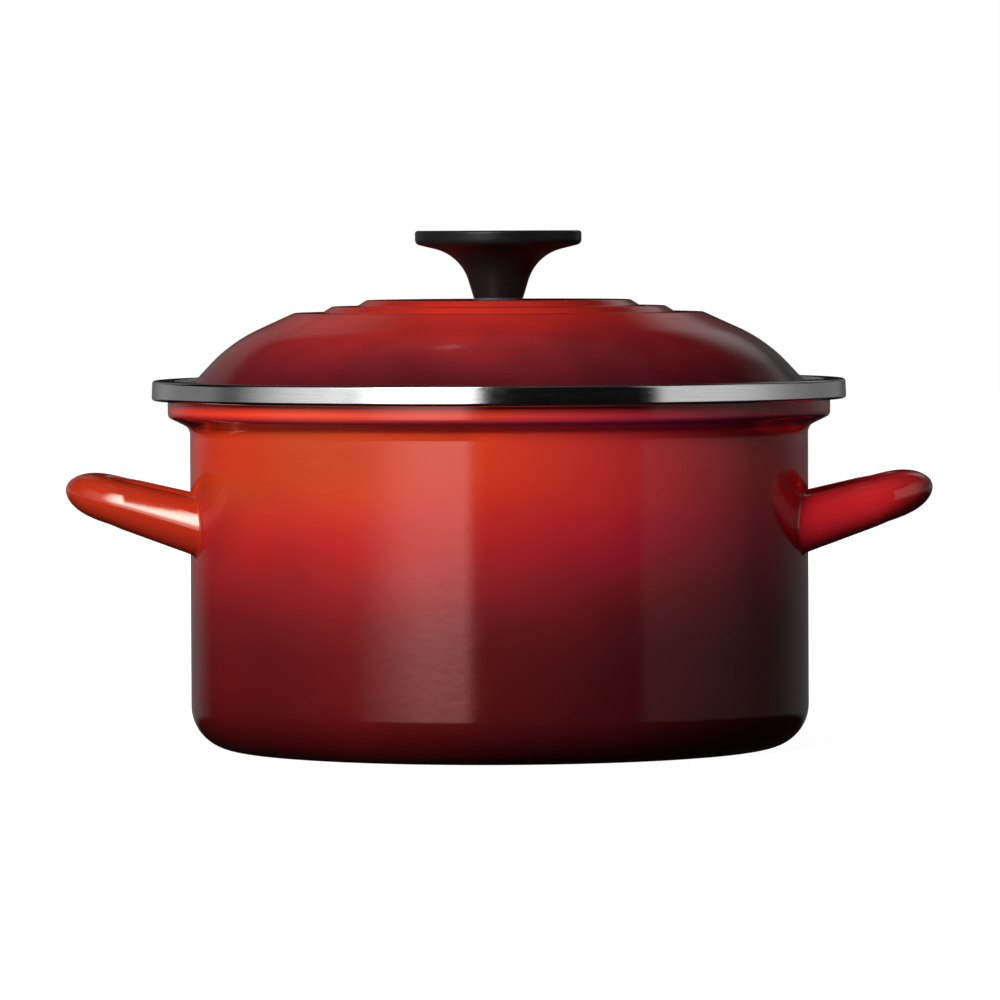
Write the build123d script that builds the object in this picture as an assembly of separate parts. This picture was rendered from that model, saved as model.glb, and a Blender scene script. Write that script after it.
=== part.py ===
"""A 24 cm enamelled-steel stock pot: drawn body, steel rim bands, pressed loop handles and a lid with a knob.

Millimetres, +Z up. The origin is on the pot's axis, in the plane that its base stands on, and the two
handles point along -X and +X. A sheet is drawn as one line of points and bend radii, which is its outer
face, and a thickness.
"""

import os
from math import atan2, cos, pi, radians, sin, tan

from build123d import *

# ---- driving dimensions ------------------------------------------------------------------------------------
BODY_R = 121.5  # outer radius of the body wall
BODY_SHEET = 1.5
BASE_BEND_R = 17.0  # outer bend from the base to the wall
BASE_FOOT_R = 92.0  # inside this radius the base is raised, so that it stands on a flat ring
BASE_RISE = 0.6
BASE_RISE_RUN = 6.0  # radial length of the slope up to the raised middle

LIP_R = 130.2  # outer radius of the gallery that the lid drops into
SEAT_Z = 126.2  # height where the wall meets the gallery's sloping seat, on the outside
SEAT_SLOPE = radians(26)
SEAT_BEND_R = 4.0
LIP_BEND_R = 2.2
BEAD_BEND_R = 1.0  # inside bends of the body's edge, which is rolled outwards under the rim band

RIM_R = 136.5  # outer radius of the pot's rim band
RIM_LEAN = 0.3  # how much smaller the band's radius is at its top
RIM_TOP_Z = 144.8
RIM_BOTTOM_Z = 137.0
RIM_INNER_LEG = 5.0  # how far the rim band reaches down inside the pot
RIM_BEND_R = 1.2
RIM_INNER_BEND_R = 1.0
BAND_SHEET = 0.6
FIT_GAP = 0.05  # between pieces that are crimped or screwed together

LID_SHEET = 1.3
LID_TOP_Z = 176.05
LID_TOP_R = 51.9  # the lid's flat top, inside its first step
STEP_DROP = (2.45, 2.45)
STEP_OUTER_R = (65.5, 80.4)  # outer radii of the flat rings below the two steps
STEP_RUN = 3.9  # radial length of each step's slope
STEP_BEND_R = 2.0
SHOULDER_BEND_R = 3.0
DOME_SLOPES = (radians(24.5), radians(47))  # the dome's fall at its top and at its foot
DOME_CORNER_R = 105.3  # radius at which those two slopes would meet
DOME_BEND_R = 62.0
BRIM_Z = 141.1  # flat brim around the dome's foot
BRIM_BEND_R = 1.5
SKIRT_R = 126.7  # outer radius of the skirt that drops into the gallery
SKIRT_BEND_R = 2.4
TRIM_SHEET = 0.8
TRIM_LEG = 4.4  # how far the lid's trim reaches up both sides of the skirt
TRIM_BEND_R = 1.2
REST_GAP = 0.3  # left between the lid and the seat

KNOB_TOP_Z = 203.2
KNOB_TOP_R = 32.75
KNOB_FOOT_R = 9.8
KNOB_WAIST = (14.8, 193.5)  # where the stem's flare would meet the underside of the head
KNOB_EDGE_Z = 197.9  # where the underside would meet the rim of the head
KNOB_BENDS = (18.0, 2.2, 1.2)
KNOB_GASKET = 0.8
GASKET_R = 9.6
INSERT_R = 4.6
INSERT_LENGTH = 14.0
INSERT_GROOVE = (0.5, 1.2)  # depth and width of the grooves that key the insert into the knob

SCREW_R = 2.5  # M5
SCREW_LENGTH = 16.0
SCREW_TIP = 0.6
SCREW_HOLE_R = 2.8
THREAD_GAP = 0.04
HEAD_R = 4.8
HEAD_HEIGHT = 3.3
HEAD_ROUND = 1.6
RECESS = (5.0, 1.1, 1.9)  # length, width and depth of the cross recess
INNER_GASKET = (8.5, 0.8)  # outer radius and thickness of each washer on the screw
FLAT_WASHER = (7.5, 1.0)
LOCK_WASHER = (4.6, 1.2)
LOCK_SLOT = 1.0

HANDLE_REACH = 170.05  # from the pot's axis to the outer face of a handle's tip
HANDLE_TILT = radians(16.5)  # a handle rises outwards
HANDLE_ROOT_Z = 89.0  # height at the body wall of the plane that the handle lies in
LEG_START = (112.0, 37.3)  # x and half width of the loop where its legs start, inside the wall
LEG_END = (154.0, 31.6)  # where a leg's line would meet the slanting line to the tip
HANDLE_TIP_HALF = 17.0  # half width of the tip, where that slanting line would meet it
HANDLE_BEND_R = 27.0
HANDLE_SHEET = 1.5
HANDLE_DEPTH = 12.0  # from a handle's outer face to where its section is highest
HANDLE_CORNER_R = 4.5  # between the section's highest point and its flat inner side
HANDLE_SLOT = 1.5  # half width of the slot between the two edges of the pressed sheet
HALF_HEIGHTS = (11.4, 8.8, 7.1)  # of a handle's section at its feet, its corners and its tip
CORNER_SHARE = 0.18  # how far along the rail the corner's section stands
TAB_SHEET = 1.1  # flange that welds each foot to the body
TAB_BORDER = 2.2
TAB_CORNER_R = 8.0


# ---- sheet and section helpers -----------------------------------------------------------------------------
def offset_points(points, distance):
    """The points of a polyline moved sideways, to the left of its direction of travel."""
    headings = [atan2(b[1] - a[1], b[0] - a[0]) for a, b in zip(points, points[1:])]
    headings = [headings[0], *headings, headings[-1]]
    moved = []
    for (x, y), before, after in zip(points, headings, headings[1:]):
        turn = (after - before + pi) % (2 * pi) - pi
        middle = before + turn / 2
        reach = distance / cos(turn / 2)
        moved.append((x - reach * sin(middle), y + reach * cos(middle)))
    return moved


def turn_signs(points):
    """+1 for each corner where a polyline turns left, and -1 where it turns right."""
    signs = []
    for a, b, c in zip(points, points[1:], points[2:]):
        cross = (b[0] - a[0]) * (c[1] - b[1]) - (b[1] - a[1]) * (c[0] - b[0])
        signs.append(1 if cross > 0 else -1)
    return signs


def sheet_section(points, bends, thickness):
    """A bent strip in the XZ plane. Its outer face is on the right of the line of points."""
    inner = offset_points(points, thickness)
    inner_bends = [r - side * thickness if r else 0 for r, side in zip(bends, turn_signs(points))]
    outer_face = FilletPolyline(*points, radius=bends)
    inner_face = FilletPolyline(*inner, radius=inner_bends)
    ends = [Line(points[0], inner[0]), Line(points[-1], inner[-1])]
    return Plane.XZ * make_face([*outer_face.edges(), *inner_face.edges(), *ends])


def spun(section):
    """A full turn of a section about the pot's axis."""
    return revolve(section, Axis.Z, 360)


def washer(outer, inner, bottom, thickness):
    """A flat ring on the pot's axis."""
    shape = Cylinder(outer, thickness) - Cylinder(inner, thickness)
    return Pos(0, 0, bottom + thickness / 2) * shape


# ---- pot ---------------------------------------------------------------------------------------------------
def seat_top(radius):
    """Height of the gallery's seat, on the inside of the pot."""
    return SEAT_Z + (radius - BODY_R) * tan(SEAT_SLOPE) + BODY_SHEET / cos(SEAT_SLOPE)


def pot_body():
    """One drawn sheet: raised base, wall, sloping seat, upright lip and rolled edge."""
    bead_top = RIM_TOP_Z - BAND_SHEET - FIT_GAP - BODY_SHEET
    bead_r = RIM_R - RIM_LEAN - BAND_SHEET - FIT_GAP - BODY_SHEET
    bead_end = RIM_BOTTOM_Z + RIM_BEND_R
    points = [
        (0, BASE_RISE),
        (BASE_FOOT_R - BASE_RISE_RUN, BASE_RISE),
        (BASE_FOOT_R, 0),
        (BODY_R, 0),
        (BODY_R, SEAT_Z),
        (LIP_R, SEAT_Z + (LIP_R - BODY_R) * tan(SEAT_SLOPE)),
        (LIP_R, bead_top),
        (bead_r, bead_top),
        (bead_r, bead_end),
    ]
    rise_bend = 3 * BODY_SHEET
    bends = [rise_bend, rise_bend, BASE_BEND_R, SEAT_BEND_R, LIP_BEND_R, BEAD_BEND_R, BEAD_BEND_R]
    return spun(sheet_section(points, bends, BODY_SHEET))


def pot_rim_band():
    """A steel channel crimped over the body's rolled edge."""
    inner_r = LIP_R - BODY_SHEET - FIT_GAP - BAND_SHEET
    points = [
        (LIP_R + FIT_GAP, RIM_BOTTOM_Z),
        (RIM_R, RIM_BOTTOM_Z),
        (RIM_R - RIM_LEAN, RIM_TOP_Z),
        (inner_r, RIM_TOP_Z),
        (inner_r, RIM_TOP_Z - RIM_INNER_LEG),
    ]
    return spun(sheet_section(points, [RIM_BEND_R, RIM_BEND_R, RIM_INNER_BEND_R], BAND_SHEET))


# ---- lid ---------------------------------------------------------------------------------------------------
def trim_bottom():
    """Height that the lid's trim comes down to."""
    return seat_top(SKIRT_R) + REST_GAP


def lid_shell():
    """One drawn sheet: skirt, brim, dome and two steps up to a flat top with a screw hole."""
    top_slope, foot_slope = DOME_SLOPES
    shoulder_z = LID_TOP_Z - sum(STEP_DROP)
    corner_z = shoulder_z - (DOME_CORNER_R - STEP_OUTER_R[1]) * tan(top_slope)
    foot_r = DOME_CORNER_R + (corner_z - BRIM_Z) / tan(foot_slope)
    points = [
        (SKIRT_R, trim_bottom() + TRIM_BEND_R),
        (SKIRT_R, BRIM_Z),
        (foot_r, BRIM_Z),
        (DOME_CORNER_R, corner_z),
        (STEP_OUTER_R[1], shoulder_z),
        (STEP_OUTER_R[0] + STEP_RUN, shoulder_z),
        (STEP_OUTER_R[0], LID_TOP_Z - STEP_DROP[0]),
        (LID_TOP_R + STEP_RUN, LID_TOP_Z - STEP_DROP[0]),
        (LID_TOP_R, LID_TOP_Z),
        (SCREW_HOLE_R, LID_TOP_Z),
    ]
    bends = [SKIRT_BEND_R, BRIM_BEND_R, DOME_BEND_R, SHOULDER_BEND_R] + 4 * [STEP_BEND_R]
    return spun(sheet_section(points, bends, LID_SHEET))


def lid_rim_band():
    """A steel channel crimped around the skirt's lower edge."""
    outer_r = SKIRT_R + FIT_GAP + TRIM_SHEET
    inner_r = SKIRT_R - LID_SHEET - FIT_GAP - TRIM_SHEET
    bottom = trim_bottom()
    top = bottom + TRIM_LEG
    points = [(inner_r, top), (inner_r, bottom), (outer_r, bottom), (outer_r, top)]
    return spun(sheet_section(points, [TRIM_BEND_R, TRIM_BEND_R], TRIM_SHEET))


# ---- knob and its screw ------------------------------------------------------------------------------------
def knob_foot_z():
    """Height of the knob's foot, which stands on its gasket."""
    return LID_TOP_Z + KNOB_GASKET


def knob():
    """Moulded mushroom knob with a blind hole for its insert."""
    foot_z = knob_foot_z()
    points = [
        (KNOB_FOOT_R, foot_z),
        KNOB_WAIST,
        (KNOB_TOP_R, KNOB_EDGE_Z),
        (KNOB_TOP_R, KNOB_TOP_Z),
        (0, KNOB_TOP_Z),
    ]
    outline = FilletPolyline(*points, radius=KNOB_BENDS)
    closing = [Line(points[-1], (0, foot_z)), Line((0, foot_z), points[0])]
    body = spun(Plane.XZ * make_face([*outline.edges(), *closing]))
    hole_length = INSERT_LENGTH + FIT_GAP
    hole = Pos(0, 0, foot_z + hole_length / 2) * Cylinder(INSERT_R + FIT_GAP, hole_length)
    return body - hole


def knob_insert():
    """Brass insert with two keying grooves and a hole for the screw."""
    foot_z = knob_foot_z()
    shape = washer(INSERT_R, SCREW_R + THREAD_GAP, foot_z, INSERT_LENGTH)
    depth, width = INSERT_GROOVE
    for share in (1 / 3, 2 / 3):
        groove_z = foot_z + INSERT_LENGTH * share - width / 2
        shape -= washer(INSERT_R + depth, INSERT_R - depth, groove_z, width)
    return shape


def stack_top(index):
    """Height of the upper face of a washer under the lid's top: 0 is the gasket against the sheet."""
    above = [INNER_GASKET, FLAT_WASHER, LOCK_WASHER][:index]
    return LID_TOP_Z - LID_SHEET - sum(thickness for _, thickness in above)


def stacked_washer(index, size):
    """One of the washers on the screw, between the lid and the screw's head."""
    outer, thickness = size
    return washer(outer, SCREW_HOLE_R, stack_top(index) - thickness, thickness)


def lock_washer():
    """Spring washer: a ring with one slanted cut, pressed flat."""
    ring = stacked_washer(2, LOCK_WASHER)
    outer, thickness = LOCK_WASHER
    slot = Box(outer, LOCK_SLOT, 3 * thickness)
    middle_r = (outer + SCREW_HOLE_R) / 2
    return ring - Pos(middle_r, 0, stack_top(2) - thickness / 2) * Rot(30, 0, 0) * slot


def knob_screw():
    """Pan-head screw, driven up from inside the lid into the knob's insert."""
    head_top = stack_top(3)
    head = Pos(0, 0, head_top - HEAD_HEIGHT / 2) * Cylinder(HEAD_R, HEAD_HEIGHT)
    head = fillet(head.edges().sort_by(Axis.Z)[0], HEAD_ROUND)
    shank = Pos(0, 0, head_top + SCREW_LENGTH / 2) * Cylinder(SCREW_R, SCREW_LENGTH)
    shank = chamfer(shank.edges().sort_by(Axis.Z)[-1], SCREW_TIP)
    screw = head + shank
    length, width, depth = RECESS
    for turn in (0, 90):
        screw -= Pos(0, 0, head_top - HEAD_HEIGHT) * Rot(0, 0, turn) * Box(length, width, 2 * depth)
    return screw


# ---- handles -----------------------------------------------------------------------------------------------
OUTWARDS = Vector(cos(HANDLE_TILT), 0, sin(HANDLE_TILT))
SIDEWAYS = Vector(0, 1, 0)


def on_handle(x, y):
    """The point of the handle's tilted plane at a given x and y."""
    return Vector(x, y, HANDLE_ROOT_Z + (x - BODY_R) * tan(HANDLE_TILT))


def rail_plane(point, along):
    """The plane across the rail, with its x pointing into the loop."""
    return Plane(origin=point, x_dir=along.cross(OUTWARDS.cross(SIDEWAYS)), z_dir=along)


def rail_section(half_height):
    """The pressed sheet: half an ellipse outside, and a flat inner side with a slot along its middle."""
    lines = []
    inner_x = HANDLE_DEPTH + HANDLE_CORNER_R
    for wall in (0, HANDLE_SHEET):
        height = half_height - wall
        depth = HANDLE_DEPTH - wall
        corner = HANDLE_CORNER_R - wall
        nose = EllipticalCenterArc((HANDLE_DEPTH, 0), depth, height, start_angle=90, arc_size=180)
        lines.append(nose)
        for side, start in ((1, 0), (-1, 270)):
            corner_y = side * (height - corner)
            lines.append(CenterArc((HANDLE_DEPTH, corner_y), corner, start, 90))
            lines.append(Line((inner_x - wall, corner_y), (inner_x - wall, side * HANDLE_SLOT)))
    for side in (1, -1):
        edge_y = side * HANDLE_SLOT
        lines.append(Line((inner_x, edge_y), (inner_x - HANDLE_SHEET, edge_y)))
    return make_face(lines)


def handle_rail():
    """The swept sheet, from inside one foot round the loop to the other."""
    foot, corner, tip = HALF_HEIGHTS
    half = [LEG_START, LEG_END, (HANDLE_REACH, HANDLE_TIP_HALF)]
    points = half + [(x, -y) for x, y in reversed(half)]
    path = FilletPolyline(*[on_handle(x, y) for x, y in points], radius=HANDLE_BEND_R)
    stations = [(0, foot), (CORNER_SHARE, corner), (0.5, tip), (1 - CORNER_SHARE, corner), (1, foot)]
    sections = [rail_plane(path @ share, path % share) * rail_section(height) for share, height in stations]
    return sweep(sections=sections, path=path, multisection=True)


def foot_tab(side):
    """The flange round one foot, which follows the body wall and is welded to it."""
    foot = on_handle(LEG_START[0], side * LEG_START[1])
    plane = rail_plane(foot, OUTWARDS * side)
    depth = HANDLE_DEPTH + HANDLE_CORNER_R
    outline = RectangleRounded(depth + 2 * TAB_BORDER, 2 * (HALF_HEIGHTS[0] + TAB_BORDER), TAB_CORNER_R)
    block = extrude(plane * Pos(depth / 2, 0) * outline, HANDLE_DEPTH * 2 * side)
    wall_r = BODY_R + FIT_GAP
    return block & washer(wall_r + TAB_SHEET, wall_r, 0, 2 * HANDLE_ROOT_Z)


def handle_right():
    """A pressed hollow loop, cut to the body wall, with a welding flange on each foot."""
    rail = handle_rail() - Pos(0, 0, HANDLE_ROOT_Z) * Cylinder(BODY_R + FIT_GAP, 2 * HANDLE_ROOT_Z)
    return rail + foot_tab(1) + foot_tab(-1)


# ---- the assembly ------------------------------------------------------------------------------------------
def assembly():
    """Every piece by name."""
    right = handle_right()
    return {
        "pot_body": pot_body(),
        "pot_rim_band": pot_rim_band(),
        "handle_left": mirror(right, Plane.YZ),
        "handle_right": right,
        "lid_shell": lid_shell(),
        "lid_rim_band": lid_rim_band(),
        "knob": knob(),
        "knob_insert": knob_insert(),
        "knob_gasket": washer(GASKET_R, SCREW_HOLE_R, LID_TOP_Z, KNOB_GASKET),
        "inner_gasket": stacked_washer(0, INNER_GASKET),
        "screw_washer": stacked_washer(1, FLAT_WASHER),
        "lock_washer": lock_washer(),
        "knob_screw": knob_screw(),
    }


os.makedirs("parts", exist_ok=True)
for name, piece in assembly().items():
    export_step(piece, f"parts/{name}.step")
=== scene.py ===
"""Looks for the enamelled stock pot: smooth turned meshes on the CAD frame, sprayed enamel, studio light.

The frame is in metres, with +Z up and the handles towards -X and +X. Outlines are drawn in millimetres.
"""

from math import atan2, ceil, cos, hypot, pi, radians, sin, sqrt, tan

import bmesh
import bpy
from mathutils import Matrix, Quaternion, Vector


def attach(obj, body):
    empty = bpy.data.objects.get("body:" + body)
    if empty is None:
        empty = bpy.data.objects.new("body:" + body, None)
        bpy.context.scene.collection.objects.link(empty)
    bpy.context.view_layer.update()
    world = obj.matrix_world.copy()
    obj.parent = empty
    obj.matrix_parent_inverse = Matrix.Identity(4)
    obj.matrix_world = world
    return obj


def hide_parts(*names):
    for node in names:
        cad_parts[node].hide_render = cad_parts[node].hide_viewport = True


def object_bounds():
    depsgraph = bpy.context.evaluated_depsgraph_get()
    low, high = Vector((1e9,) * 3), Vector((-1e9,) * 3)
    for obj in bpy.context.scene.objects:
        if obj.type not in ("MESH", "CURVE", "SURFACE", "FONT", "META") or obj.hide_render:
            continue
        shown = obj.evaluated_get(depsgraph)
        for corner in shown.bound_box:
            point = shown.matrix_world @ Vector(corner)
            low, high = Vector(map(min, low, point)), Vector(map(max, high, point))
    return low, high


MM = 0.001
WHITE = (1, 1, 1, 1)
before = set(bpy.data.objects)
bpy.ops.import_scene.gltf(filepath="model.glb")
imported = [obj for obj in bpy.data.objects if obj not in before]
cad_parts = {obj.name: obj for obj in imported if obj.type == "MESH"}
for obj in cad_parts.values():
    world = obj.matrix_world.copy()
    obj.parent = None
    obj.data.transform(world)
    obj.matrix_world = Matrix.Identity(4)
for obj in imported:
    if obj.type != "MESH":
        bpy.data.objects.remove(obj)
cad_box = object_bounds()


# ---- sizes of the turned and pressed pieces, in millimetres, as in the CAD -----------------------
TURN_STEPS = 288  # divisions of a full turn
ARC_STEP = radians(4)  # most that one division of a bend turns
ARC_RUN = 1.5  # most that it is long
SUPPORT = 0.5  # from the end of a long straight run to the point that keeps its shading straight
CREASE = radians(40)  # edges that turn more than this stay sharp
ON_AXIS = 1e-6  # a point of an outline with less radius than this is a pole
MERGE_GAP = 1e-4  # corners closer than this are one

BODY_R = 121.5
BODY_SHEET = 1.5
BASE_BEND_R = 17.0
BASE_FOOT_R = 92.0
BASE_RISE = 0.6
BASE_RISE_RUN = 6.0

LIP_R = 130.2
SEAT_Z = 126.2
SEAT_SLOPE = radians(26)
SEAT_BEND_R = 4.0
LIP_BEND_R = 2.2
BEAD_BEND_R = 1.0

RIM_R = 136.5
RIM_LEAN = 0.3
RIM_TOP_Z = 144.8
RIM_BOTTOM_Z = 137.0
RIM_INNER_LEG = 5.0
RIM_BEND_R = 1.2
RIM_INNER_BEND_R = 1.0
BAND_SHEET = 0.6
FIT_GAP = 0.05

LID_SHEET = 1.3
LID_TOP_Z = 176.05
LID_TOP_R = 51.9
STEP_DROP = (2.45, 2.45)
STEP_OUTER_R = (65.5, 80.4)
STEP_RUN = 3.9
STEP_BEND_R = 2.0
SHOULDER_BEND_R = 3.0
DOME_SLOPES = (radians(24.5), radians(47))
DOME_CORNER_R = 105.3
DOME_BEND_R = 62.0
BRIM_Z = 141.1
BRIM_BEND_R = 1.5
SKIRT_R = 126.7
SKIRT_BEND_R = 2.4
TRIM_SHEET = 0.8
TRIM_LEG = 4.4
TRIM_BEND_R = 1.2
REST_GAP = 0.3
SCREW_HOLE_R = 2.8

KNOB_TOP_Z = 203.2
KNOB_TOP_R = 32.75
KNOB_FOOT_R = 9.8
KNOB_WAIST = (14.8, 193.5)  # radius, height
KNOB_EDGE_Z = 197.9
KNOB_BENDS = (18.0, 2.2, 1.2)
KNOB_GASKET = 0.8
INSERT_HOLE_R = 4.65
INSERT_HOLE_DEPTH = 14.05

HANDLE_REACH = 170.05
HANDLE_TILT = radians(16.5)
HANDLE_ROOT_Z = 89.0
LEG_START = (112.0, 37.3)  # out from the axis, and to the side
LEG_END = (154.0, 31.6)
HANDLE_TIP_HALF = 17.0
HANDLE_BEND_R = 27.0
HANDLE_BEND_STEPS = 32
HANDLE_SHEET = 1.5
HANDLE_DEPTH = 12.0
HANDLE_CORNER_R = 4.5
HANDLE_SLOT = 1.5
HALF_HEIGHTS = (11.4, 8.8, 7.1)  # of the section, at a foot, at a leg's far end and at the tip
NOSE_STEPS = 28  # divisions of each part of half the handle's section
CORNER_STEPS = 8
SIDE_STEPS = 3
WELD_R = 1.2  # concave run of enamel where a foot meets the wall
WELD_STEPS = 6


# ---- outlines ------------------------------------------------------------------------------------
def offset_points(points, distance):
    """The points of a polyline moved sideways, to the left of its direction of travel."""
    headings = [atan2(b[1] - a[1], b[0] - a[0]) for a, b in zip(points, points[1:])]
    headings = [headings[0], *headings, headings[-1]]
    moved = []
    for (x, y), before, after in zip(points, headings, headings[1:]):
        turn = (after - before + pi) % (2 * pi) - pi
        reach = distance / cos(turn / 2)
        middle = before + turn / 2
        moved.append((x - reach * sin(middle), y + reach * cos(middle)))
    return moved


def turn_at(a, b, c):
    """Signed angle that a polyline a, b, c turns at b, to the left."""
    change = atan2(c[1] - b[1], c[0] - b[0]) - atan2(b[1] - a[1], b[0] - a[0])
    return (change + pi) % (2 * pi) - pi


def bend_steps(turn, radius):
    """Into how many parts a bend is divided."""
    return max(2, ceil(abs(turn) / min(ARC_STEP, ARC_RUN / radius)))


def rounded(points, bends, steps=None):
    """A polyline with each corner replaced by points along a tangent arc."""
    line = [points[0]]
    for i, radius in enumerate(bends):
        a, b, c = points[i : i + 3]
        turn = turn_at(a, b, c)
        heading = atan2(b[1] - a[1], b[0] - a[0])
        setback = radius * tan(abs(turn) / 2)
        start = (b[0] - setback * cos(heading), b[1] - setback * sin(heading))
        side = 1 if turn > 0 else -1
        centre = (start[0] - side * radius * sin(heading), start[1] + side * radius * cos(heading))
        count = steps[i] if steps else bend_steps(turn, radius)
        for k in range(count + 1):
            angle = heading - side * pi / 2 + turn * k / count
            line.append((centre[0] + radius * cos(angle), centre[1] + radius * sin(angle)))
    return [*line, points[-1]]


def supported(line):
    """Adds points beside the ends of long straight runs, so that smooth shading leaves them straight."""
    result = [line[0]]
    for a, b in zip(line, line[1:]):
        length = hypot(b[0] - a[0], b[1] - a[1])
        if length > 4 * SUPPORT:
            for share in (SUPPORT / length, 1 - SUPPORT / length):
                result.append((a[0] + (b[0] - a[0]) * share, a[1] + (b[1] - a[1]) * share))
        result.append(b)
    return result


def sheet_faces(points, bends, thickness):
    """Outer and inner faces of a bent strip, as two matching lists of points. The first is on the right."""
    turns = [turn_at(*points[i : i + 3]) for i in range(len(bends))]
    steps = [bend_steps(t, r) for t, r in zip(turns, bends)]
    inner_bends = [r - (1 if t > 0 else -1) * thickness for r, t in zip(bends, turns)]
    outer = supported(rounded(points, bends, steps))
    inner = supported(rounded(offset_points(points, thickness), inner_bends, steps))
    return outer, inner


# ---- meshes --------------------------------------------------------------------------------------
def piece_from(name, bm, materials, body, nodes):
    """Turns a bmesh in millimetres into a smooth piece that stands for the CAD nodes."""
    bmesh.ops.remove_doubles(bm, verts=bm.verts, dist=MERGE_GAP)
    bmesh.ops.recalc_face_normals(bm, faces=bm.faces)
    bmesh.ops.scale(bm, vec=(MM, MM, MM), verts=bm.verts)
    mesh = bpy.data.meshes.new(name)
    bm.to_mesh(mesh)
    bm.free()
    for material in materials:
        mesh.materials.append(material)
    mesh.shade_smooth()
    mesh.set_sharp_from_angle(angle=CREASE)
    piece = bpy.data.objects.new(name, mesh)
    bpy.context.scene.collection.objects.link(piece)
    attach(piece, body)
    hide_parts(*nodes)


def turned(outline, inside_from=None):
    """A bmesh of a closed outline of (radius, z) points turned about Z. Points on the axis become poles.

    Faces made by the outline's segments from inside_from on get the second material.
    """
    bm = bmesh.new()
    rings = []
    for r, z in outline:
        if r < ON_AXIS:
            rings.append([bm.verts.new((0, 0, z))] * TURN_STEPS)
            continue
        angles = (2 * pi * k / TURN_STEPS for k in range(TURN_STEPS))
        rings.append([bm.verts.new((r * cos(a), r * sin(a), z)) for a in angles])
    for i, ring in enumerate(rings):
        following = rings[(i + 1) % len(rings)]
        for k in range(TURN_STEPS):
            corners = [ring[k], ring[(k + 1) % TURN_STEPS], following[(k + 1) % TURN_STEPS], following[k]]
            corners = list(dict.fromkeys(corners))
            if len(corners) > 2:
                face = bm.faces.new(corners)
                face.material_index = 1 if inside_from is not None and i >= inside_from else 0
    return bm


def turned_sheet(points, bends, thickness):
    """A turned sheet whose inner face has the second material."""
    outer, inner = sheet_faces(points, bends, thickness)
    return turned(outer + inner[::-1], inside_from=len(outer))


# ---- pot -----------------------------------------------------------------------------------------
def seat_top(radius):
    return SEAT_Z + (radius - BODY_R) * tan(SEAT_SLOPE) + BODY_SHEET / cos(SEAT_SLOPE)


def pot_shell(materials):
    """Raised base, wall, sloping seat, upright lip and the edge rolled outwards."""
    bead_top = RIM_TOP_Z - BAND_SHEET - FIT_GAP - BODY_SHEET
    bead_r = RIM_R - RIM_LEAN - BAND_SHEET - FIT_GAP - BODY_SHEET
    points = [
        (0, BASE_RISE),
        (BASE_FOOT_R - BASE_RISE_RUN, BASE_RISE),
        (BASE_FOOT_R, 0),
        (BODY_R, 0),
        (BODY_R, SEAT_Z),
        (LIP_R, SEAT_Z + (LIP_R - BODY_R) * tan(SEAT_SLOPE)),
        (LIP_R, bead_top),
        (bead_r, bead_top),
        (bead_r, RIM_BOTTOM_Z + RIM_BEND_R),
    ]
    rise_bend = 3 * BODY_SHEET
    bends = [rise_bend, rise_bend, BASE_BEND_R, SEAT_BEND_R, LIP_BEND_R, BEAD_BEND_R, BEAD_BEND_R]
    bm = turned_sheet(points, bends, BODY_SHEET)
    piece_from("pot_enamelled_shell", bm, materials, "pot", ["pot_body"])


def rim_band(materials):
    """Steel channel crimped over the pot's rolled edge."""
    inner_r = LIP_R - BODY_SHEET - FIT_GAP - BAND_SHEET
    points = [
        (LIP_R + FIT_GAP, RIM_BOTTOM_Z),
        (RIM_R, RIM_BOTTOM_Z),
        (RIM_R - RIM_LEAN, RIM_TOP_Z),
        (inner_r, RIM_TOP_Z),
        (inner_r, RIM_TOP_Z - RIM_INNER_LEG),
    ]
    bm = turned_sheet(points, [RIM_BEND_R, RIM_BEND_R, RIM_INNER_BEND_R], BAND_SHEET)
    piece_from("pot_steel_rim", bm, materials * 2, "pot", ["pot_rim_band"])


# ---- lid -----------------------------------------------------------------------------------------
TRIM_BOTTOM_Z = seat_top(SKIRT_R) + REST_GAP


def lid(materials):
    """Skirt, brim, dome and two steps up to the flat top."""
    top_slope, foot_slope = DOME_SLOPES
    shoulder_z = LID_TOP_Z - sum(STEP_DROP)
    corner_z = shoulder_z - (DOME_CORNER_R - STEP_OUTER_R[1]) * tan(top_slope)
    points = [
        (SKIRT_R, TRIM_BOTTOM_Z + TRIM_BEND_R),
        (SKIRT_R, BRIM_Z),
        (DOME_CORNER_R + (corner_z - BRIM_Z) / tan(foot_slope), BRIM_Z),
        (DOME_CORNER_R, corner_z),
        (STEP_OUTER_R[1], shoulder_z),
        (STEP_OUTER_R[0] + STEP_RUN, shoulder_z),
        (STEP_OUTER_R[0], LID_TOP_Z - STEP_DROP[0]),
        (LID_TOP_R + STEP_RUN, LID_TOP_Z - STEP_DROP[0]),
        (LID_TOP_R, LID_TOP_Z),
        (SCREW_HOLE_R, LID_TOP_Z),
    ]
    bends = [SKIRT_BEND_R, BRIM_BEND_R, DOME_BEND_R, SHOULDER_BEND_R] + 4 * [STEP_BEND_R]
    bm = turned_sheet(points, bends, LID_SHEET)
    piece_from("lid_enamelled_shell", bm, materials, "lid", ["lid_shell"])


def lid_trim(materials):
    """Steel channel crimped around the skirt's lower edge."""
    outer_r = SKIRT_R + FIT_GAP + TRIM_SHEET
    inner_r = SKIRT_R - LID_SHEET - FIT_GAP - TRIM_SHEET
    top = TRIM_BOTTOM_Z + TRIM_LEG
    points = [(inner_r, top), (inner_r, TRIM_BOTTOM_Z), (outer_r, TRIM_BOTTOM_Z), (outer_r, top)]
    bm = turned_sheet(points, [TRIM_BEND_R, TRIM_BEND_R], TRIM_SHEET)
    piece_from("lid_steel_trim", bm, materials * 2, "lid", ["lid_rim_band"])


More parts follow.
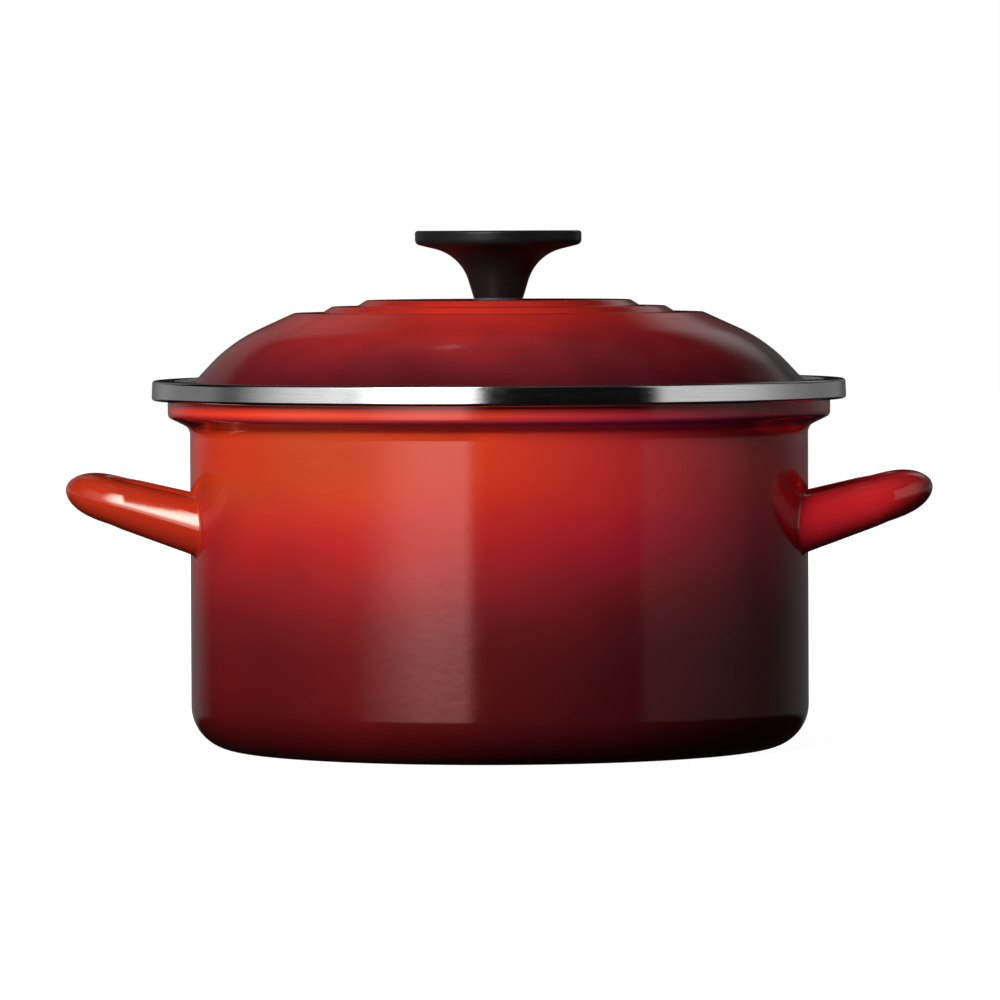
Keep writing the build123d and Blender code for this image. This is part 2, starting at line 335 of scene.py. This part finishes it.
def knob(materials):
    """Moulded mushroom knob, with the hole for its insert."""
    foot_z = LID_TOP_Z + KNOB_GASKET
    points = [
        (KNOB_FOOT_R, foot_z),
        KNOB_WAIST,
        (KNOB_TOP_R, KNOB_EDGE_Z),
        (KNOB_TOP_R, KNOB_TOP_Z),
        (0, KNOB_TOP_Z),
    ]
    hole_z = foot_z + INSERT_HOLE_DEPTH
    outline = rounded(points, KNOB_BENDS) + [(0, hole_z), (INSERT_HOLE_R, hole_z), (INSERT_HOLE_R, foot_z)]
    piece_from("lid_knob", turned(outline), materials, "lid", ["knob"])


# ---- handles -------------------------------------------------------------------------------------
def rail_outline(half_height, wall):
    """One face of the pressed sheet, from one edge of the slot round to the other, as (depth, height)."""
    corner = HANDLE_CORNER_R - wall
    height = half_height - wall
    inner_x = HANDLE_DEPTH + corner
    half = []
    for k in range(SIDE_STEPS):
        y = HANDLE_SLOT + (height - corner - HANDLE_SLOT) * k / SIDE_STEPS
        half.append((inner_x, y))
    for k in range(CORNER_STEPS):
        angle = pi / 2 * k / CORNER_STEPS
        half.append((HANDLE_DEPTH + corner * cos(angle), height - corner + corner * sin(angle)))
    for k in range(NOSE_STEPS):
        angle = pi / 2 + pi / 2 * k / NOSE_STEPS
        half.append((HANDLE_DEPTH + (HANDLE_DEPTH - wall) * cos(angle), height * sin(angle)))
    return half + [(wall, 0.0)] + [(x, -y) for x, y in reversed(half)]


def on_handle(across, side, depth, height, into):
    """A point given by the handle's tilted plane: out from the wall, sideways, then in and up from there."""
    across += depth * into[0]
    side += depth * into[1]
    x = BODY_R + across * cos(HANDLE_TILT) - height * sin(HANDLE_TILT)
    z = HANDLE_ROOT_Z + across * sin(HANDLE_TILT) + height * cos(HANDLE_TILT)
    return Vector((x, side, z))


def wall_hit(point, along):
    """Where a line first meets the outside of the pot's wall, going back along it."""
    wall_r = BODY_R + FIT_GAP
    a = along.x**2 + along.y**2
    b = point.x * along.x + point.y * along.y
    c = point.x**2 + point.y**2 - wall_r**2
    return point + along * ((sqrt(b * b - a * c) - b) / a)


def half_height_at(x, y):
    """Half the section's height: largest at the feet, smallest at the tip."""
    foot, corner, tip = HALF_HEIGHTS
    leg_share = max(0.0, (LEG_END[0] - x) / (LEG_END[0] - LEG_START[0]))
    tip_share = 1 - (1 - min(1.0, abs(y) / LEG_END[1])) ** 2
    return tip + (corner - tip) * tip_share + (foot - corner) * leg_share


def rail_ring(line, i):
    """Both faces of the section at a point of the loop's line."""
    before = line[max(i - 1, 0)]
    after = line[min(i + 1, len(line) - 1)]
    run = Vector((after[0] - before[0], after[1] - before[1])).normalized()
    into = (run.y, -run.x)
    across, side = line[i]
    half_height = half_height_at(BODY_R + across * cos(HANDLE_TILT), side)
    faces = []
    for wall in (0.0, HANDLE_SHEET):
        outline = rail_outline(half_height, wall)
        faces.append([on_handle(across, side, d, h, into) for d, h in outline])
    return faces


def foot_rings(start, end):
    """Rings from the wall to a leg's straight end, whose outer face flares out where it meets the wall."""
    count = len(start[0])
    centre = sum(start[0], Vector()) / count
    axis = (end[0][count // 2] - start[0][count // 2]).normalized()
    flares = []
    for i in range(count):
        edge = start[0][(i + 1) % count] - start[0][i - 1] if 0 < i < count - 1 else Vector()
        out = edge.cross(axis)
        if i in (0, count - 1):
            out = start[0][0] - start[0][count // 2]
        out -= axis * out.dot(axis)
        if out.dot(start[0][i] - centre) < 0:
            out = -out
        flares.append(out.normalized())
    rings = []
    for k in range(WELD_STEPS + 1):
        angle = pi / 2 * k / WELD_STEPS
        away = WELD_R * (1 - cos(angle))
        flare = WELD_R * (1 - sin(angle))
        faces = []
        for side, face in enumerate(start):
            ring = []
            for i, point in enumerate(face):
                along = (end[side][i] - point).normalized()
                moved = point + flares[i] * (flare if side == 0 else 0.0)
                ring.append(wall_hit(moved, along) + along * away)
            faces.append(ring)
        rings.append(faces)
    return rings


def handle(name, node, mirror, materials):
    """Pressed sheet bent into a loop and welded to the wall at both feet."""
    turns = (LEG_START, LEG_END, (HANDLE_REACH, HANDLE_TIP_HALF))
    half = [((x - BODY_R) / cos(HANDLE_TILT), y) for x, y in turns]
    corners = half + [(u, -y) for u, y in reversed(half)]
    line = rounded(corners, [HANDLE_BEND_R] * 4, [HANDLE_BEND_STEPS] * 4)
    rings = [rail_ring(line, i) for i in range(len(line))]
    rings = foot_rings(rings[0], rings[1]) + rings[1:-1] + foot_rings(rings[-1], rings[-2])[::-1]
    bm = bmesh.new()
    made = []
    for faces in rings:
        made.append([[bm.verts.new((mirror * v.x, v.y, v.z)) for v in face] for face in faces])
    for first, second in zip(made, made[1:]):
        loops = [ring[0] + ring[1][::-1] for ring in (first, second)]
        count = len(loops[0])
        for i in range(count):
            j = (i + 1) % count
            bm.faces.new((loops[0][i], loops[0][j], loops[1][j], loops[1][i]))
    for outer, inner in (made[0], made[-1]):
        for i in range(len(outer) - 1):
            bm.faces.new((outer[i], outer[i + 1], inner[i + 1], inner[i]))
    piece_from(name, bm, materials, "pot", [node])


# ---- shader helpers ------------------------------------------------------------------------------
def add(tree, kind, inputs=None, **settings):
    """Adds a node. Inputs are constants or other nodes' sockets, by name or index."""
    node = tree.nodes.new(kind)
    for key, value in settings.items():
        setattr(node, key, value)
    for key, value in (inputs or {}).items():
        if isinstance(value, bpy.types.NodeSocket):
            tree.links.new(value, node.inputs[key])
        else:
            node.inputs[key].default_value = value
    return node


def math_node(tree, operation, *values):
    return add(tree, "ShaderNodeMath", dict(enumerate(values)), operation=operation).outputs[0]


def vector_node(tree, operation, inputs):
    return add(tree, "ShaderNodeVectorMath", inputs, operation=operation).outputs[0]


def noise(tree, vector, scale, detail=2.0, roughness=0.5):
    values = {"Vector": vector, "Scale": scale, "Detail": detail, "Roughness": roughness}
    return add(tree, "ShaderNodeTexNoise", values).outputs["Fac"]


def ramp(tree, factor, stops):
    """A colour ramp through (position, colour) stops."""
    node = add(tree, "ShaderNodeValToRGB", {"Fac": factor})
    elements = node.color_ramp.elements
    while len(elements) < len(stops):
        elements.new(0.5)
    for element, (position, colour) in zip(elements, stops):
        element.position = position
        element.color = (*colour, 1.0)
    return node.outputs["Color"]


def rescale(tree, value, low, high, to_low=0.0, to_high=1.0):
    values = {"Value": value, "From Min": low, "From Max": high, "To Min": to_low, "To Max": to_high}
    return add(tree, "ShaderNodeMapRange", values).outputs["Result"]


def new_material(name, **constants):
    """A Principled material with constants on its sockets. Returns material, tree, shader, object point."""
    material = bpy.data.materials.new(name)
    material.use_nodes = True
    tree = material.node_tree
    shader = tree.nodes["Principled BSDF"]
    for key, value in constants.items():
        shader.inputs[key.replace("_", " ")].default_value = value
    point = add(tree, "ShaderNodeTexCoord").outputs["Object"]
    return material, tree, shader, point


def bump(tree, shader, height, strength, distance):
    node = add(tree, "ShaderNodeBump", {"Height": height, "Strength": strength, "Distance": distance})
    tree.links.new(node.outputs["Normal"], shader.inputs["Normal"])


def uneven_gloss(tree, shader, point, scale, low, high):
    """Roughness that wanders slowly from low to high."""
    spread = rescale(tree, noise(tree, point, scale, detail=3.0), 0.3, 0.7, low, high)
    tree.links.new(spread, shader.inputs["Roughness"])


# ---- enamel --------------------------------------------------------------------------------------
# Sprayed colour by height in millimetres, linear RGB.
BODY_COLOURS = [
    (6, (0.044, 0.0030, 0.0044)),
    (25, (0.073, 0.0054, 0.0068)),
    (41, (0.082, 0.0070, 0.0088)),
    (51, (0.104, 0.0086, 0.0110)),
    (57, (0.128, 0.0095, 0.0128)),
    (62, (0.160, 0.0108, 0.0148)),
    (73, (0.232, 0.0136, 0.0162)),
    (83, (0.328, 0.0140, 0.0150)),
    (94, (0.425, 0.0200, 0.0125)),
    (104, (0.495, 0.0300, 0.0100)),
    (115, (0.530, 0.0360, 0.0112)),
    (126.4, (0.530, 0.0380, 0.0118)),
    (137, (0.560, 0.0400, 0.0160)),
]
LID_COLOURS = [
    (142, (0.068, 0.0050, 0.0080)),
    (149, (0.100, 0.0072, 0.0115)),
    (153, (0.142, 0.0098, 0.0145)),
    (160, (0.262, 0.0160, 0.0185)),
    (164, (0.355, 0.0190, 0.0180)),
    (168, (0.450, 0.0230, 0.0165)),
    (171.5, (0.470, 0.0230, 0.0145)),
    (174, (0.420, 0.0210, 0.0120)),
    (176, (0.410, 0.0205, 0.0115)),
]
HANDLE_COLOURS = [
    (74, (0.30, 0.016, 0.009)),
    (90, (0.39, 0.024, 0.0085)),
    (112, (0.43, 0.031, 0.0090)),
]
# Painted light and shade, in metres: factors of the colour that come in from one x to another
# and from one height to another, lighter or darker by where the lamps fall and the highlights lie.
EVERYWHERE = (-9, -8)  # all of the pot lies past this range
BODY_PAINTED_LIGHT_AND_SHADE = [
    # Painted shade on the seat under the gallery; the next line lightens the upright lip above it again.
    (EVERYWHERE, (0.26, 0.22, 1.40), (0.1264, 0.1278)),
    (EVERYWHERE, (4.10, 4.60, 0.90), (0.1304, 0.1332)),
    # Painted light and shade from side to side on the wall and gallery, lighter or darker by where the lamps
    # fall.
    ((-0.004, -0.070), (1.33, 1.10, 1.10), (0.100, 0.045)),
    ((-0.004, -0.070), (1.00, 1.45, 1.20), (0.080, 0.102)),
    ((-0.004, 0.040), (0.82, 0.90, 0.95), (0.100, 0.045)),
    ((-0.010, 0.070), (1.00, 0.65, 2.90), (0.066, 0.094)),
    ((-0.006, -0.014), (0.81, 0.85, 0.92), (0.096, 0.118)),
    ((-0.080, -0.115), (1.30, 0.62, 0.60), (0.104, 0.114)),
    ((-0.006, -0.014), (1.27, 1.00, 1.00), (0.1264, 0.1300)),
    ((-0.006, -0.014), (1.16, 1.00, 0.90), (0.090, 0.075)),
    ((-0.058, -0.075), (0.80, 0.90, 0.95), (0.090, 0.075)),
    ((-0.093, -0.108), (1.30, 1.10, 1.10), (0.090, 0.075)),
    ((0.098, 0.113), (2.20, 1.00, 1.00), EVERYWHERE),
    ((-0.106, -0.050), (1.95, 1.80, 1.95), (0.1242, 0.1278)),
    ((-0.106, -0.050), (0.51, 0.55, 0.51), (0.1284, 0.1292)),
]
# Painted light and shade on the dome: darker towards the right, lighter in the middle and far left.
LID_PAINTED_LIGHT_AND_SHADE = [
    ((-0.012, 0.045), (0.78, 0.75, 0.95), (0.154, 0.163)),
    ((-0.036, -0.022), (1.25, 1.15, 1.10), (0.158, 0.166)),
    ((-0.080, -0.105), (1.45, 1.60, 1.40), (0.162, 0.152)),
]
# Painted light: the right handle, which gets less light from the lamps, made lighter and bluer.
HANDLE_PAINTED_LIGHT = [((-0.010, 0.010), (1.75, 0.75, 3.30), EVERYWHERE)]
SPRAY_TILT = 0.01  # slope of the sprayed bands
SPRAY_CLOUDS = (22.0, 0.0045)  # scale and depth in metres of the slow unevenness of a hand-held spray
SPRAY_SPECKS = (2600.0, 0.0035)  # the same for the fine droplets
ORANGE_PEEL = 260.0  # scale of the waves in the enamel's surface
PINHOLES = 900.0  # scale of its pores
PINHOLE_SHARE = 0.12  # how strong the pores are beside the waves
PEEL_BUMP = (0.12, 0.00012)  # strength, and depth in metres
ENAMEL_GLOSS = (60.0, 0.075, 0.125)  # scale, and the least and most roughness
ENAMEL_IOR = 1.52
FLECKS = 1900.0  # scale of the pale flecks in the inner enamel
INNER_WAVES = 420.0  # scale of its waves
INNER_BUMP = (0.2, 0.00015)
INNER_GLOSS = (45.0, 0.14, 0.24)


def sprayed_enamel(name, colours, tint, painted_light_and_shade):
    """Glossy enamel whose colours fade into each other with the height, as droplets, times painted light and
    shade.
    """
    material, tree, shader, point = new_material(name, IOR=ENAMEL_IOR, Specular_Tint=tint)
    x, _, z = add(tree, "ShaderNodeSeparateXYZ", {0: point}).outputs
    height = math_node(tree, "ADD", z, math_node(tree, "MULTIPLY", x, SPRAY_TILT))
    for scale, depth in (SPRAY_CLOUDS, SPRAY_SPECKS):
        spread = rescale(tree, noise(tree, point, scale), 0.25, 0.75, -depth, depth)
        height = math_node(tree, "ADD", height, spread)
    low, high = colours[0][0], colours[-1][0]
    share = rescale(tree, height, low * MM, high * MM)
    stops = [((z_mm - low) / (high - low), colour) for z_mm, colour in colours]
    colour = ramp(tree, share, stops)
    # Painted light and shade: the colour is multiplied by factors that come in by x and by height.
    for sides, factors, levels in painted_light_and_shade:
        across = rescale(tree, x, *sides)
        up = rescale(tree, z, *levels)
        spread = math_node(tree, "MULTIPLY", across, up)
        mix = {0: spread, 6: WHITE, 7: (*factors, 1)}
        painted_factor = add(tree, "ShaderNodeMix", mix, data_type="RGBA").outputs[2]
        colour = vector_node(tree, "MULTIPLY", {0: colour, 1: painted_factor})
    tree.links.new(colour, shader.inputs["Base Color"])
    peel = noise(tree, point, ORANGE_PEEL, detail=1.0)
    pores = noise(tree, point, PINHOLES, detail=3.0)
    relief = math_node(tree, "ADD", peel, math_node(tree, "MULTIPLY", pores, PINHOLE_SHARE))
    bump(tree, shader, relief, *PEEL_BUMP)
    uneven_gloss(tree, shader, point, *ENAMEL_GLOSS)
    return material


def black_enamel():
    """Black inner enamel with a fine pale fleck."""
    material, tree, shader, point = new_material("inner_enamel", IOR=ENAMEL_IOR)
    specks = rescale(tree, noise(tree, point, FLECKS), 0.66, 0.74)
    colour = ramp(tree, specks, [(0.0, (0.006, 0.006, 0.007)), (1.0, (0.09, 0.088, 0.085))])
    tree.links.new(colour, shader.inputs["Base Color"])
    uneven_gloss(tree, shader, point, *INNER_GLOSS)
    bump(tree, shader, noise(tree, point, INNER_WAVES), *INNER_BUMP)
    return material


# ---- metal, plastic and rubber -------------------------------------------------------------------
POLISH_SCALES = (9.0, 2400.0)  # scales of the polishing marks around the axis and across them
POLISH_BUMP = (0.15, 0.00004)
SMEARS = 55.0  # scale of the smears on metal
SMEAR_SHARE = 0.4  # how much of the change in gloss the smears make, beside the marks
MOULD_GRAIN = 1500.0  # scale of the moulded grain
MOULD_BUMP = (0.25, 0.00005)
MOULD_GLOSS_SCALE = 70.0


def around(tree, point, around_scale, across_scale):
    """Coordinates that are long around the pot's axis and fine across it, for turned or polished marks."""
    x, y, z = add(tree, "ShaderNodeSeparateXYZ", {0: point}).outputs
    squares = [math_node(tree, "POWER", side, 2.0) for side in (x, y)]
    radius = math_node(tree, "SQRT", math_node(tree, "ADD", *squares))
    flat = add(tree, "ShaderNodeCombineXYZ", {0: x, 1: y}).outputs[0]
    unit = vector_node(tree, "NORMALIZE", {0: flat})
    turned_part = vector_node(tree, "SCALE", {0: unit, 3: around_scale})
    across = math_node(tree, "MULTIPLY", math_node(tree, "ADD", radius, z), across_scale)
    lift = add(tree, "ShaderNodeCombineXYZ", {2: across}).outputs[0]
    return vector_node(tree, "ADD", {0: turned_part, 1: lift})


def polished_metal(name, colour, roughness):
    """Bright metal with fine polishing marks around the axis."""
    material, tree, shader, point = new_material(name, Metallic=1.0)
    lines = noise(tree, around(tree, point, *POLISH_SCALES), 1.0, detail=4.0, roughness=0.65)
    smears = noise(tree, point, SMEARS, detail=4.0)
    dark = tuple(c * 0.86 for c in colour)
    tree.links.new(ramp(tree, lines, [(0.3, dark), (0.7, colour)]), shader.inputs["Base Color"])
    shares = ((lines, 1 - SMEAR_SHARE), (smears, SMEAR_SHARE))
    mixed = math_node(tree, "ADD", *(math_node(tree, "MULTIPLY", *share) for share in shares))
    spread = rescale(tree, mixed, 0.3, 0.7, roughness * 0.75, roughness * 1.35)
    tree.links.new(spread, shader.inputs["Roughness"])
    bump(tree, shader, lines, *POLISH_BUMP)
    return material


def moulded(name, colour, roughness, shine=0.5):
    """Moulded phenolic or rubber: a fine even grain, and slow changes in gloss."""
    material, tree, shader, point = new_material(name, IOR=1.5, Specular_IOR_Level=shine)
    grains = noise(tree, point, MOULD_GRAIN, detail=3.0)
    light = tuple(c * 1.5 for c in colour)
    tree.links.new(ramp(tree, grains, [(0.35, colour), (0.65, light)]), shader.inputs["Base Color"])
    uneven_gloss(tree, shader, point, MOULD_GLOSS_SCALE, roughness * 0.85, roughness * 1.2)
    bump(tree, shader, grains, *MOULD_BUMP)
    return material


def finish_cad_nodes(finishes):
    """Gives the CAD nodes that stay visible their materials."""
    for name, material in finishes.items():
        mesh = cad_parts[name].data
        mesh.materials.clear()
        mesh.materials.append(material)


# ---- studio --------------------------------------------------------------------------------------
# Soft boxes around the pot: azimuths where each starts, is full, is still full and ends, the same for its
# heights, and its strength. Degrees. Azimuth 0 is the camera's side, and grows to the right.
SOFT_BOXES = [
    ((-60, -24, -14, -8), (-6.5, -1, 44, 53), 4.2),
    ((-62, -19, -14, -9), (5, 21, 55, 74), 17.0),
    ((-16, -12, -8, -4), (-1.6, -1.3, 8, 12), 1.3),
    ((-108, -58, -57, -46), (-1.6, -1.3, 40, 49), 1.15),
    ((-165, -140, -112, -95), (-1.7, -1.3, 5, 12), 0.25),
    ((52, 56, 64, 140), (-10, -7, 40, 49), 0.24),
    ((50, 57, 78, 135), (-1.6, -1.3, 40, 49), 0.56),
    ((105, 125, 150, 165), (-1.7, -1.3, 5, 12), 0.12),
    ((110, 140, 168, 179), (-10, -6, 26, 40), 0.09),
    ((181, 192, 205, 228), (-10, -6, 22, 30), 0.15),
    ((146, 162, 166, 174), (15, 23, 28, 40), 0.36),
    ((184, 189, 195, 202), (24, 29, 36, 46), 0.16),
    ((-181, -180, 180, 181), (57, 60, 90, 91), 0.06),
    ((193, 198, 203, 209), (66.5, 68, 70, 71.5), 1.0),
]
ROOM_GLOW = 0.005  # what the room gives glossy surfaces where there is no box
AMBIENT = 0.035  # what the room gives matt surfaces from all round
FLOOR_SIZE = 6.0
FLOOR_GAP = 0.0002  # so that the base ring and the floor aren't one plane
CAMERA_AWAY = 3.0
CAMERA_ASIDE = 0.00027
CAMERA_ROLL = radians(-0.24)
CAMERA_LENS = 274.6  # on the standard 36 mm sensor
CAMERA_Z = 0.2028
CAMERA_AIM_Z = 0.0972
CAMERA_CLIP = 100.0

low, high = (Vector(corner) for corner in cad_box)
pot_middle = (low + high) / 2


def window(tree, value, start, full, still_full, end):
    """1 between full and still_full, fading to 0 at start and end."""
    edges = []
    for outer, inner in ((start, full), (end, still_full)):
        values = {"Value": value, "From Min": outer, "From Max": inner}
        edge = add(tree, "ShaderNodeMapRange", values, interpolation_type="SMOOTHSTEP")
        edges.append(edge.outputs["Result"])
    return math_node(tree, "MULTIPLY", *edges)


def studio_world():
    """A dim room with soft boxes round it. The camera itself sees plain white behind the pot."""
    world = bpy.data.worlds.new("studio")
    bpy.context.scene.world = world
    world.cycles.sampling_method = "NONE"
    world.use_nodes = True
    tree = world.node_tree
    tree.nodes.clear()
    way = add(tree, "ShaderNodeTexCoord").outputs["Generated"]
    x, y, z = add(tree, "ShaderNodeSeparateXYZ", {0: way}).outputs
    front_azimuth = math_node(tree, "ARCTAN2", x, math_node(tree, "MULTIPLY", y, -1.0))
    azimuth = math_node(tree, "DEGREES", front_azimuth)
    height = math_node(tree, "DEGREES", math_node(tree, "ARCSINE", z))
    from_back = math_node(tree, "MODULO", math_node(tree, "ADD", azimuth, 360.0), 360.0)
    total = ROOM_GLOW
    for azimuths, heights, strength in SOFT_BOXES:
        past_the_back = azimuths[-1] > 181
        around_pot = window(tree, from_back if past_the_back else azimuth, *azimuths)
        upright = window(tree, height, *heights)
        glow = math_node(tree, "MULTIPLY", math_node(tree, "MULTIPLY", around_pot, upright), strength)
        total = math_node(tree, "ADD", total, glow)
    path = add(tree, "ShaderNodeLightPath").outputs
    strengths = {"Factor": path["Is Diffuse Ray"], "A": total, "B": AMBIENT}
    strength = add(tree, "ShaderNodeMix", strengths).outputs["Result"]
    lit = add(tree, "ShaderNodeBackground", {"Color": WHITE, "Strength": strength}).outputs[0]
    plain = add(tree, "ShaderNodeBackground", {"Color": WHITE, "Strength": 1.0}).outputs[0]
    mixed = add(tree, "ShaderNodeMixShader", {0: path["Is Camera Ray"], 1: lit, 2: plain}).outputs[0]
    add(tree, "ShaderNodeOutputWorld", {"Surface": mixed})


def area_light(name, azimuth, height, distance, width, tall, power):
    """A soft light aimed at the pot, which doesn't show in its gloss."""
    turn, lift = radians(azimuth), radians(height)
    way = Vector((sin(turn) * cos(lift), -cos(turn) * cos(lift), sin(lift)))
    data = bpy.data.lights.new(name, "AREA")
    data.shape = "RECTANGLE"
    data.size = width
    data.size_y = tall
    data.energy = power
    light = bpy.data.objects.new(name, data)
    light.location = pot_middle + way * distance
    light.rotation_euler = (-way).to_track_quat("-Z", "Y").to_euler()
    light.visible_glossy = False
    bpy.context.scene.collection.objects.link(light)


def floor():
    """Plain pale floor."""
    bm = bmesh.new()
    bmesh.ops.create_grid(bm, x_segments=1, y_segments=1, size=FLOOR_SIZE)
    mesh = bpy.data.meshes.new("floor")
    bm.to_mesh(mesh)
    bm.free()
    material, tree, shader, point = new_material("floor_paper", Roughness=0.9, Emission_Strength=1.0)
    grain = noise(tree, point, 3.0)
    for socket, dark, light in (("Base Color", 0.16, 0.2), ("Emission Color", 0.955, 0.975)):
        greys = ramp(tree, grain, [(0.3, (dark,) * 3), (0.7, (light,) * 3)])
        tree.links.new(greys, shader.inputs[socket])
    mesh.materials.append(material)
    plane = bpy.data.objects.new("floor", mesh)
    plane.location.z = low.z - FLOOR_GAP
    plane.visible_glossy = False
    plane.visible_diffuse = False
    bpy.context.scene.collection.objects.link(plane)


def camera():
    """A long lens at about the height of the knob's top, looking at the middle of the pot."""
    data = bpy.data.cameras.new("camera")
    data.lens = CAMERA_LENS
    data.clip_end = CAMERA_CLIP
    shot = bpy.data.objects.new("camera", data)
    shot.location = (CAMERA_ASIDE, -CAMERA_AWAY, CAMERA_Z)
    aim = Vector((CAMERA_ASIDE, 0, CAMERA_AIM_Z))
    level = (aim - shot.location).to_track_quat("-Z", "Y")
    shot.rotation_euler = (level @ Quaternion((0, 0, 1), CAMERA_ROLL)).to_euler()
    bpy.context.scene.collection.objects.link(shot)
    bpy.context.scene.camera = shot


body_enamel = sprayed_enamel("body_enamel", BODY_COLOURS, (1, 0.5, 0.48, 1), BODY_PAINTED_LIGHT_AND_SHADE)
lid_enamel = sprayed_enamel("lid_enamel", LID_COLOURS, (1, 0.55, 0.5, 1), LID_PAINTED_LIGHT_AND_SHADE)
handle_enamel = sprayed_enamel("handle_enamel", HANDLE_COLOURS, (1, 0.96, 0.84, 1), HANDLE_PAINTED_LIGHT)
inner_enamel = black_enamel()
rim_steel = polished_metal("rim_steel", (0.66, 0.66, 0.665), 0.11)
screw_steel = polished_metal("screw_steel", (0.60, 0.60, 0.61), 0.22)
brass = polished_metal("insert_brass", (0.75, 0.53, 0.24), 0.25)
phenolic = moulded("knob_phenolic", (0.006, 0.006, 0.0065), 0.34, shine=0.12)
rubber = moulded("gasket_rubber", (0.02, 0.02, 0.02), 0.7)

pot_shell([body_enamel, inner_enamel])
rim_band([rim_steel])
for mirror, side in ((-1, "left"), (1, "right")):
    handle(f"handle_{side}_loop", f"handle_{side}", mirror, [handle_enamel])
lid([lid_enamel, inner_enamel])
lid_trim([rim_steel])
knob([phenolic])
finish_cad_nodes({
    "knob_insert": brass,
    "knob_gasket": rubber,
    "inner_gasket": rubber,
    "screw_washer": screw_steel,
    "lock_washer": screw_steel,
    "knob_screw": screw_steel,
})

studio_world()
# Azimuth and height in degrees, then distance, width and height in metres, then watts.
area_light("front key", -22, 19, 1.6, 0.5, 0.65, 19.5)
area_light("side key", -46, 19, 1.6, 0.5, 0.65, 14.5)
area_light("back fill", 180, 9, 1.9, 1.2, 0.7, 16.0)
floor()
camera()
bpy.context.scene.view_settings.view_transform = "Standard"
